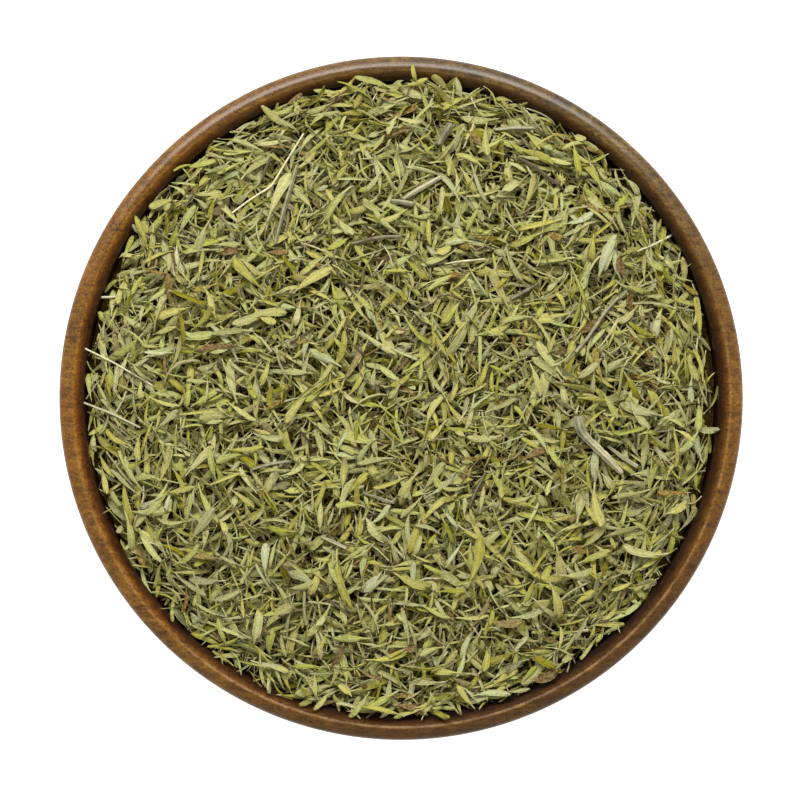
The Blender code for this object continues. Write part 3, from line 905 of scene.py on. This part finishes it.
# The fine stalks: leaf stalks and thread-thin ends of stem that broke off with the leaves, straw-pale, grey
# or purple-brown. Some are straight, some bowed, and some dried into hooks. They lie loose among the leaves.
STALK_SEED = 23
STALK_SIDES = 5
STALK_STATIONS = 8
STALK_LENGTHS = (0.0048, 0.36)
BIT_LENGTH_LIMITS = (0.0015, 0.0110)
BIT_PLACES = SLOPE_RADIUS - 0.0006
STALK_FAMILIES = (
    # name, how many, thickness for a length of one, bow, curl
    ("straight_stalk", 8, (0.042, 0.070), 0.04, 0.25),
    ("bowed_stalk", 7, (0.040, 0.065), 0.12, 0.9),
    ("hooked_stalk", 3, (0.045, 0.065), 0.05, 2.0),
)


def stalk_kind(name, draw, thick, bow, curl):
    """One bit of stalk, one unit long, closed all round: it bends sideways, and swells at a knot and an
    end."""
    steps = STALK_STATIONS - 1
    heading = draw.uniform(-curl, curl)
    path = [Vector((0, 0, 0))]
    for i in range(steps):
        angle = heading * ((i + 0.5) / steps - 0.5) + draw.uniform(-0.08, 0.08)
        path.append(path[-1] + Vector((math.cos(angle), math.sin(angle), 0)))
    span = (path[-1] - path[0]).length
    middle = (path[-1] + path[0]) / 2
    knot = draw.uniform(0.3, 0.7)
    mesh = bmesh.new()
    along = mesh.verts.layers.float.new("along")
    rings = []
    for i, point in enumerate(path):
        share = i / steps
        ahead = (path[min(i + 1, steps)] - path[max(i - 1, 0)]).normalized()
        beside = Vector((-ahead.y, ahead.x, 0))
        at = (point - middle) / span + Vector((0, 0, bow * 4 * share * (1 - share)))
        girth = 0.5 * thick * (0.75 + 0.5 * (1 - share) ** 3 + 0.6 * math.exp(-((share - knot) / 0.06) ** 2))
        ring = []
        for k in range(STALK_SIDES):
            turn = 2 * math.pi * k / STALK_SIDES
            offset = math.cos(turn) * beside + math.sin(turn) * Vector((0, 0, 1))
            ring.append(mesh.verts.new(at + girth * offset))
            ring[-1][along] = share
        rings.append(ring)
    skin(mesh, rings)
    mesh.faces.new(rings[0])
    mesh.faces.new(rings[-1])
    turn_outward(mesh)
    return drawn(name, mesh)


def dry_stalk():
    """Dry stalk: purple-brown at one end of the tint, grey in the middle and straw at the other."""
    stalk = Finish("dry_stalk")
    fibre = stalk.noise(stalk.place(), 2600.0, detail=4.0, roughness=0.7)
    colour = stalk.ramp(stalk.attribute("tint"),
                        (0.00, (0.078, 0.050, 0.030)), (0.22, (0.150, 0.116, 0.062)),
                        (0.40, (0.275, 0.240, 0.130)), (0.62, (0.430, 0.395, 0.200)),
                        (0.82, (0.600, 0.555, 0.320)), (1.00, (0.720, 0.680, 0.450)))
    colour = stalk.blend(stalk.span(fibre, 0.36, 0.54, 0.6, 0.0), colour, (0.50, 0.42, 0.34), "MULTIPLY")
    stalk.surface(Base_Color=colour, Roughness=0.62, Specular_IOR_Level=0.15)
    stalk.relief(fibre, 0.00018)
    return stalk.material


dry_stalk_finish = dry_stalk()
stalk_draw = np.random.default_rng(STALK_SEED)
stalk_kinds = bpy.data.collections.new("stalk_kinds")
stalk_facts = []
for family, count, thicks, bow, curl in STALK_FAMILIES:
    for i in range(count):
        thick, arch = stalk_draw.uniform(*thicks), stalk_draw.uniform(-0.3, 1.0) * bow
        kind = stalk_kind(f"stalk_kind_{len(stalk_facts):02d}", stalk_draw, thick, arch, curl)
        stalk_facts.append((thick, arch))
        stalk_kinds.objects.link(bpy.data.objects.new(kind.name, kind))
stalk_facts = np.array(stalk_facts)


def drop_bits(count, facts, lengths, tilt):
    """Drops this many bits over the whole bowl. Returns one row of facts for each."""
    rows = []
    while len(rows) < count:
        x, y = open_place(BIT_PLACES)
        kind = int(leaf_draw.choice(len(facts)))
        slim, bend = facts[kind]
        length = float(np.clip(leaf_draw.lognormal(math.log(lengths[0]), lengths[1]), *BIT_LENGTH_LIMITS))
        found = settle(x, y, leaf_draw.uniform(0.0, 2 * math.pi), length, max(slim, 0.06), bend,
                       leaf_draw.normal(0.0, 0.3), leaf_draw.normal(0.0, tilt))
        if found:
            rows.append((*found, length, kind))
    return np.array(rows)


def lay_stalks(name, count, seed):
    """One fall of stalks."""
    rows = drop_bits(count, stalk_facts, STALK_LENGTHS, 0.10)
    tints = np.clip(stalk_draw.normal(0.48, 0.25, count), 0.0, 1.0)
    stalks = strewn(name, stalk_kinds, dry_stalk_finish, rows, (0.8, 1.3), seed, tint=tints)
    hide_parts("thyme_heap")
    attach(stalks, "root")


lay_stalks("lower_stalks", 520, 31)

# The flower cups: dried calyxes, ribbed tubes about three millimetres long with a toothed mouth,
# grey-purple to straw. They broke off the flower heads and lie loose among the leaves.
CUP_SEED = 41
CUP_SIDES = 10
CUP_STATIONS = ((0.00, 0.10), (0.10, 0.34), (0.35, 0.50), (0.62, 0.40), (0.80, 0.52), (1.00, 0.30))
CUP_GIRTH = 0.42
CUP_COUNT = 90
CUP_KINDS = 5
CUP_LENGTHS = (0.0030, 0.20)


def flower_cup(name, draw):
    """One cup, one unit long, closed all round: ribs run from its stalk end to the teeth round its mouth."""
    mesh = bmesh.new()
    along = mesh.verts.layers.float.new("along")
    rib = mesh.verts.layers.float.new("rib")
    lean = draw.uniform(-0.15, 0.15)
    rings = []
    for share, girth in CUP_STATIONS:
        ring = []
        for k in range(CUP_SIDES):
            proud = 1.0 if k % 2 == 0 else 0.0
            turn = 2 * math.pi * k / CUP_SIDES
            radius = 0.5 * CUP_GIRTH * girth * 2 * (0.84 + 0.16 * proud)
            reach = share - 0.5 + (0.10 * proud if share == 1.0 else 0.0)
            corner = mesh.verts.new((reach, radius * math.cos(turn) + lean * share ** 2,
                                     radius * 0.8 * math.sin(turn)))
            corner[along] = share
            corner[rib] = proud
            ring.append(corner)
        rings.append(ring)
    skin(mesh, rings)
    mesh.faces.new(rings[0])
    throat = mesh.verts.new((0.28, lean * 0.6, 0.0))
    throat[along] = 1.0
    fan(mesh, rings[-1], throat)
    turn_outward(mesh, smooth=())
    return drawn(name, mesh)


def papery_cup():
    """Dry papery cup: purple-grey between pale straw ribs, with painted shade darkening the inside of the
    mouth.
    """
    cup = Finish("papery_cup")
    mottle = cup.noise(cup.place(), 1800.0, detail=4.0)
    colour = cup.ramp(cup.attribute("tint"), (0.0, (0.130, 0.078, 0.095)), (0.3, (0.170, 0.130, 0.100)),
                      (0.6, (0.270, 0.235, 0.110)), (1.0, (0.430, 0.400, 0.190)))
    colour = cup.blend(cup.span(cup.attribute("rib"), 0.35, 0.9, 0.0, 0.6), colour, (0.480, 0.430, 0.260))
    colour = cup.blend(cup.span(mottle, 0.38, 0.55, 0.5, 0.0), colour, (0.5, 0.42, 0.40), "MULTIPLY")
    # Painted shade: the inside of the mouth and the end round it are darkened.
    mouth = cup.span(cup.attribute("along"), 0.92, 1.0, 0.0, 0.35)
    colour = cup.blend(mouth, colour, (0.040, 0.024, 0.022))
    cup.surface(Base_Color=colour, Roughness=0.78, Specular_IOR_Level=0.25)
    cup.relief(mottle, 0.00020)
    return cup.material


cup_draw = np.random.default_rng(CUP_SEED)
cup_kinds = bpy.data.collections.new("cup_kinds")
for i in range(CUP_KINDS):
    cup = flower_cup(f"cup_kind_{i:02d}", cup_draw)
    cup_kinds.objects.link(bpy.data.objects.new(cup.name, cup))
cup_facts = np.array([(CUP_GIRTH, 0.0)] * CUP_KINDS)
rows = drop_bits(CUP_COUNT, cup_facts, CUP_LENGTHS, 0.15)
flower_cups = strewn("flower_cups", cup_kinds, papery_cup(), rows, (0.8, 1.2), 43,
                     tint=np.clip(cup_draw.normal(0.52, 0.26, CUP_COUNT), 0.0, 1.0))
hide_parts("thyme_heap")
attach(flower_cups, "root")

# The upper leaves: larger, mostly whole ones of the same dried thyme, fallen loosely on those before them.
# The last of the fine stalks fell among them, and lie loose too.
WHOLE_LEAVES = (("spoon", 0.26), ("lance", 0.38), ("folded", 0.18), ("rolled", 0.15), ("broken", 0.03))
lay_leaves("upper_leaves", 3500, WHOLE_LEAVES, (0.0064, 0.24), 0.12, 0.38, 0.4, 0.20, 0.57, 0.17, seed=47)
lay_stalks("upper_stalks", 360, 53)

# The last leaves to fall: whole leaves on top of the heap, and a few shoot tips that kept their leaves
# together. The leaves that stand out by their place, size or colour are laid one by one, last of all.
TOP_COUNT = 1550
TIP_COUNT = 36
TIP_LENGTHS = (0.0036, 0.0058)
TIP_SPREADS = (-0.55, -0.18, 0.20, 0.60)
LEAF_LOOKS = {
    # tint, sage, brown
    "bright": (0.76, 0.30, 0.0),
    "pale": (1.00, 0.45, 0.0),
    "olive": (0.36, 0.78, 0.1),
    "sage": (0.50, 1.00, 0.0),
    "yellow": (0.74, 0.02, 0.0),
    "rusty": (0.60, 0.20, 1.0),
    "purple": (0.40, 0.90, 1.0),
    "dark": (0.00, 0.50, 0.6),
}
NOTED_LEAVES = {
    # where its stalk and its tip lie, in mm, and its width as a share of its length
    "bright": (
        (-29.5, 37.5, -24, 49.5, 0.17), (-19, 40, -23.5, 46, 0.25), (-28.5, 18.5, -37, 16, 0.22),
        (-0.5, 62, -3, 57.5, 0.32), (-16, 42, -10, 35.5, 0.2), (-0.5, 36, -6, 41, 0.22),
        (-12.5, 15, -13.5, 19.5, 0.25), (-9.5, 15.5, -0.5, 9.5, 0.13), (36.5, 3.5, 29.5, 12.5, 0.17),
        (35.5, 3, 28.5, 9, 0.24), (21.5, 45, 25.5, 47.5, 0.35), (-47.5, -17.5, -41, -10.5, 0.22),
        (-17, -14, -19, -7, 0.25), (-15, -13.5, -22.5, -13, 0.2), (-26.5, -17, -21, -14.5, 0.25),
        (-13.5, -26, -10, -17.5, 0.2), (-8, -25.5, -3, -31.5, 0.28), (-32.5, -54.5, -31, -46, 0.28),
        (-19, -50, -16.5, -47.5, 0.4), (33.5, -38.5, 43.5, -37.5, 0.22), (59.5, -34, 48, -32.5, 0.18),
        (49.5, -1.5, 54.5, -7, 0.22), (25.5, -9.5, 31, -9.5, 0.3), (22.5, -8, 14, -8.5, 0.14),
        (29, -20.5, 32, -24, 0.35), (25.5, -45, 29, -45, 0.35),
    ),
    "pale": (
        (43, 25, 47, 36, 0.16), (35, 38, 42, 40.5, 0.24), (-51.5, -21, -57.5, -24, 0.2),
        (-4, -37.5, -9, -42.5, 0.36), (-29.5, -39.5, -29.5, -31.5, 0.24),
    ),
    "olive": (
        (-29.5, 23, -37, 30.5, 0.18), (-55.5, 32, -58.5, 40, 0.17), (-15.5, 5.5, -12.5, 15, 0.14),
        (24.5, 54.5, 33.5, 51, 0.2), (-60.5, -16.5, -59, -28, 0.17), (-14, -32.5, -10.5, -46, 0.13),
        (14, -42, 17.5, -30.5, 0.2), (3.5, 68.5, 2.5, 73, 0.3),
    ),
    "sage": (
        (-41.5, 39.5, -44.5, 30.5, 0.22), (-31.5, 14.5, -41.5, 14, 0.15), (-41.5, 33.5, -35, 33.5, 0.22),
        (17, 19.5, 15, 11.5, 0.22), (15, 19.5, 9.5, 9, 0.15), (33.5, 29, 32.5, 36, 0.25),
        (-35, -4.5, -44.5, -4.5, 0.2), (-25.5, -41.5, -18.5, -40, 0.25), (38.5, -56, 35, -58, 0.42),
        (4.5, -21, 9.5, -14, 0.22),
    ),
    "yellow": (
        (-24.5, 22, -14.5, 28.5, 0.18), (-45.5, 20, -54, 17.5, 0.2), (7, 31.5, 11, 33, 0.42),
        (-32, -15.5, -32, -11.5, 0.2), (-38, -19.5, -32, -24, 0.18), (-10.5, -65.5, -14, -62.5, 0.4),
        (-38, -30.5, -39.5, -26.5, 0.4), (42.5, -17.5, 44, -28.5, 0.2), (57.5, -25.5, 63, -22.5, 0.3),
        (4, -28, 10, -21.5, 0.16), (32, -39.5, 34.5, -48.5, 0.25), (34, -56, 35, -50, 0.12),
    ),
    "rusty": (
        (-19, 12.5, -23, 12, 0.3), (-46.5, 44, -44.5, 47, 0.3), (16, 33, 12.5, 33.5, 0.35),
        (14, 27, 9.5, 26.5, 0.3), (36.5, 35, 32, 36, 0.35), (48, 41, 40.5, 43, 0.2),
        (25.5, -14, 24, -11.5, 0.4),
    ),
    "purple": (
        (-33.5, 11, -44.5, 10.5, 0.14), (-34, 32.5, -39.5, 31.5, 0.28), (49, 26, 47.5, 31, 0.3),
        (27.5, -62, 34.5, -59.5, 0.3), (0, -55, 3.5, -54, 0.3), (33, -26, 39.5, -26, 0.24),
        (26, -14.5, 32, -11, 0.25),
    ),
    "dark": (
        (-27, -36, -24.5, -40.5, 0.35),
    ),
}


def shoot_tips(count):
    """Pairs and tufts of small leaves that spread from one point, as at the end of a shoot."""
    rows = []
    while len(rows) < count * len(TIP_SPREADS):
        x, y = open_place(BIT_PLACES)
        yaw = leaf_draw.uniform(0.0, 2 * math.pi)
        length = leaf_draw.uniform(*TIP_LENGTHS)
        found = settle(x, y, yaw, length, 0.3, 0.0, 0.0, 0.0)
        if not found:
            continue
        x, y, z, roll, pitch, yaw = found
        for spread in TIP_SPREADS:
            kind = int(leaf_draw.choice(family_kinds["spoon"]))
            size = length * leaf_draw.uniform(0.75, 1.05)
            turn = yaw + spread + leaf_draw.normal(0.0, 0.08)
            rise = pitch - 0.22 * abs(spread) + leaf_draw.normal(0.0, 0.06)
            step = 0.5 * size - 0.5 * length
            rows.append((x + step * math.cos(turn), y + step * math.sin(turn),
                         z + 0.0003 * leaf_draw.random(), leaf_draw.normal(0.0, 0.4), rise, turn,
                         size, kind))
    return np.array(rows)


def noted_leaves():
    """The leaves that stand out, each with its stalk and tip where they are noted, and the look of each."""
    blades = np.array([kind for name, kinds in family_kinds.items() if name != "folded" for kind in kinds])
    rows, looks = [], []
    for look, leaves in NOTED_LEAVES.items():
        for stalk_x, stalk_y, tip_x, tip_y, slim in leaves:
            kind = int(blades[np.argmin(np.abs(kind_facts[blades, 0] - slim - leaf_draw.normal(0.0, 0.01)))])
            length = math.hypot(tip_x - stalk_x, tip_y - stalk_y) / 1000
            found = settle((stalk_x + tip_x) / 2000, (stalk_y + tip_y) / 2000,
                           math.atan2(tip_y - stalk_y, tip_x - stalk_x), length, *kind_facts[kind],
                           leaf_draw.normal(0.0, 0.25), 0.0, kept=True)
            rows.append((*found, length, kind))
            looks.append(LEAF_LOOKS[look])
    return np.array(rows), np.array(looks)


rows = np.concatenate((shoot_tips(TIP_COUNT),
                       scatter(TOP_COUNT, WHOLE_LEAVES, (0.0069, 0.22), 0.11, 0.34, 0.3, 0.16)))
top_leaves = strewn("top_leaves", leaf_kinds, dried_thyme_leaf, rows, (0.85, 1.20), 71,
                    **leaf_tints(len(rows), 0.60, 0.19, 0.15))
rows, looks = noted_leaves()
standing_out = strewn("standing_out_leaves", leaf_kinds, dried_thyme_leaf, rows, (0.95, 1.10), 73,
                      tint=looks[:, 0], sage=looks[:, 1], brown=looks[:, 2])
for piece in (top_leaves, standing_out):
    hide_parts("thyme_heap")
    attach(piece, "root")

# The floor: a plain white light table, matt and lit from within, which keeps the bowl's shadow faint.
# It is one flat sheet under the bowl's foot, and reaches far past the picture.
FLOOR_SIDE = 4.0
floor_mesh = bmesh.new()
bmesh.ops.create_grid(floor_mesh, x_segments=8, y_segments=8, size=FLOOR_SIDE / 2)
light_table = placed("light_table", drawn("light_table", floor_mesh))
table_top = Finish("white_table_top")
table_top.surface(Base_Color=(0.86, 0.86, 0.86, 1.0), Roughness=0.9,
                  Emission_Color=(1.0, 1.0, 1.0, 1.0), Emission_Strength=0.92)
light_table.data.materials.append(table_top.material)

# The light: one wide soft lamp at the far side of the bowl, a little to the left, and an even white room.
# The lamp is a bare panel of light that hangs free, aimed at the middle of the bowl's rim.
KEY_PLACE = Vector((-0.05, 0.63, 0.80))
KEY_WATTS = 13.8
KEY_WIDTH = 1.10
KEY_HEIGHT = 0.34
ROOM_STRENGTH = 0.42
key_data = bpy.data.lights.new("key_lamp", "AREA")
key_data.energy = KEY_WATTS
key_data.shape = "RECTANGLE"
key_data.size = KEY_WIDTH
key_data.size_y = KEY_HEIGHT
key_data.color = (1.0, 0.985, 0.97)
key_lamp = placed("key_lamp", key_data)
key_lamp.location = KEY_PLACE
key_lamp.rotation_euler = (Vector((0, 0, BOWL_HEIGHT)) - KEY_PLACE).to_track_quat("-Z", "Y").to_euler()
room = bpy.data.worlds.new("white_room")
room.use_nodes = True
walls = room.node_tree.nodes["Background"].inputs
walls["Color"].default_value = (1.0, 0.97, 0.86, 1.0)
walls["Strength"].default_value = ROOM_STRENGTH
bpy.context.scene.world = room
bpy.context.scene.view_settings.view_transform = "Standard"

# The camera: it looks straight down on the bowl from above its rim.
# The bowl's middle lies a hair to the right of the picture's middle and above it.
MM_PER_PIXEL = 0.21886
PICTURE_PIXELS = 800
BOWL_MIDDLE_PIXEL = (401.1, 398.1)
CAMERA_ABOVE_RIM = 0.80
picture_side = PICTURE_PIXELS * MM_PER_PIXEL / 1000
camera_data = bpy.data.cameras.new("overhead_camera")
camera_data.lens = camera_data.sensor_width * CAMERA_ABOVE_RIM / picture_side
camera_data.clip_start = 0.01
camera = placed("overhead_camera", camera_data)
camera.location = ((PICTURE_PIXELS / 2 - BOWL_MIDDLE_PIXEL[0]) * MM_PER_PIXEL / 1000,
                   (BOWL_MIDDLE_PIXEL[1] - PICTURE_PIXELS / 2) * MM_PER_PIXEL / 1000,
                   BOWL_HEIGHT + CAMERA_ABOVE_RIM)
bpy.context.scene.camera = camera
